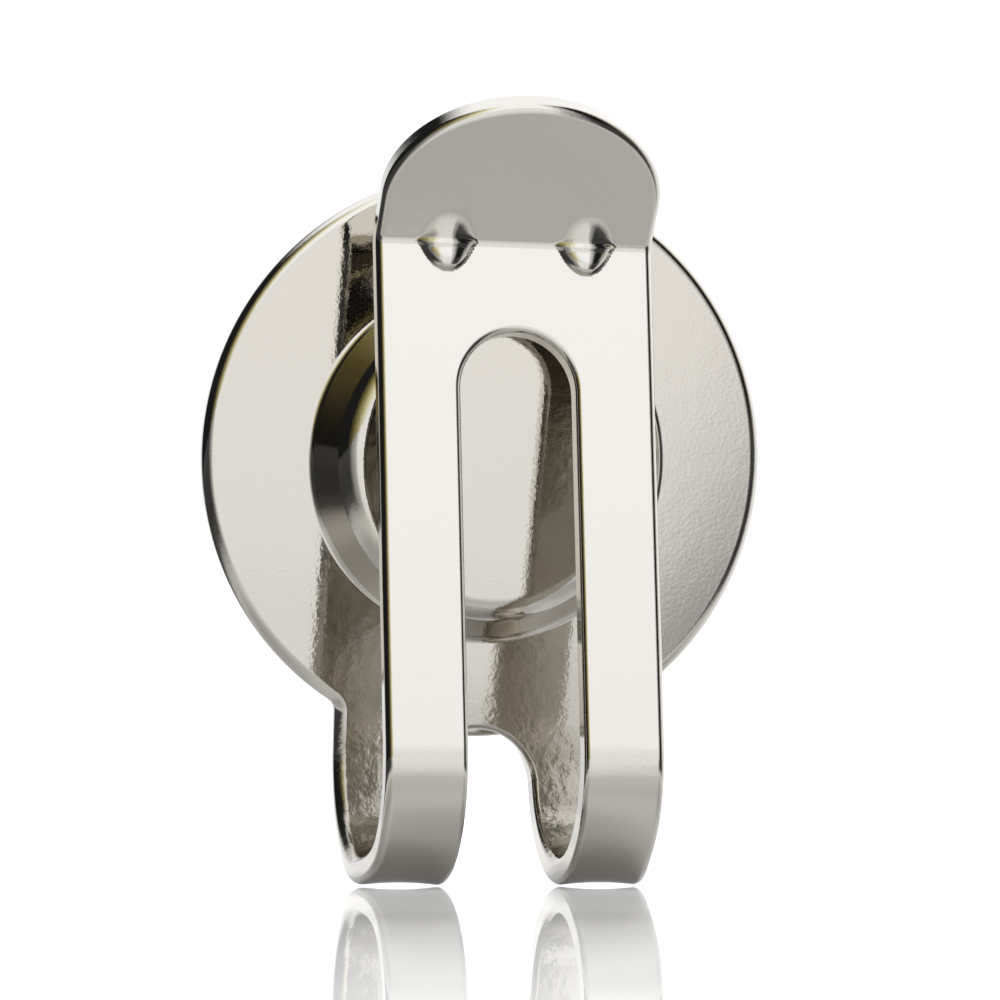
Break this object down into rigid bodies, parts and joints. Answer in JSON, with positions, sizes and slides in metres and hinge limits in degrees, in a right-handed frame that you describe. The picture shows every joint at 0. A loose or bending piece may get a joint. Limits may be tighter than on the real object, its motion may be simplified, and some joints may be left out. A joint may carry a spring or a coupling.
{
  "type": "cap clip",
  "caption": "Spring cap clip: round plate with a drawn magnet cup and marker coin, strip legs turned back in a U to a slotted arm with a half-round thumb tab.",
  "frame": {"origin": "centre of the flat top of the drawn cup, on the side that bears on the cap brim", "axes": "+Z from the U-bends towards the thumb tab along the plate, -Y out of the cup's top towards the spring arm, +Y towards the marker coin, +X across the strip"},
  "size_m": [0.025, 0.0122, 0.0334],
  "materials": {
    "nickel_plate_body": "polished",
    "nickel_left_bend": "polished",
    "nickel_right_bend": "polished",
    "nickel_arm": "polished",
    "magnet_coating": "satin",
    "clear_adhesive": "gloss",
    "marker_metal": "polished",
    "marker_enamel_fill": "gloss"
  },
  "bodies": {
    "clip": {"clip_plate": "nickel_plate_body", "left_leg_bend": "nickel_left_bend", "right_leg_bend": "nickel_right_bend", "magnet": "magnet_coating", "magnet_adhesive": "clear_adhesive"},
    "arm": {"spring_arm": "nickel_arm"},
    "marker": {"marker_disc": "marker_metal", "marker_enamel": "marker_enamel_fill"}
  },
  "joints": [
    {"name": "arm_flex", "type": "hinge", "parent": "clip", "child": "arm", "pos_m": [0, -0.0018, -0.01265], "axis": [1, 0, 0], "range_deg": [0, 10], "stiffness_Nm_per_rad": 2, "deforming": ["left_leg_bend", "right_leg_bend"]},
    {"name": "marker_pull", "type": "slide", "parent": "clip", "child": "marker", "axis": [0, 1, 0], "range_m": [0, 0.012]}
  ]
}
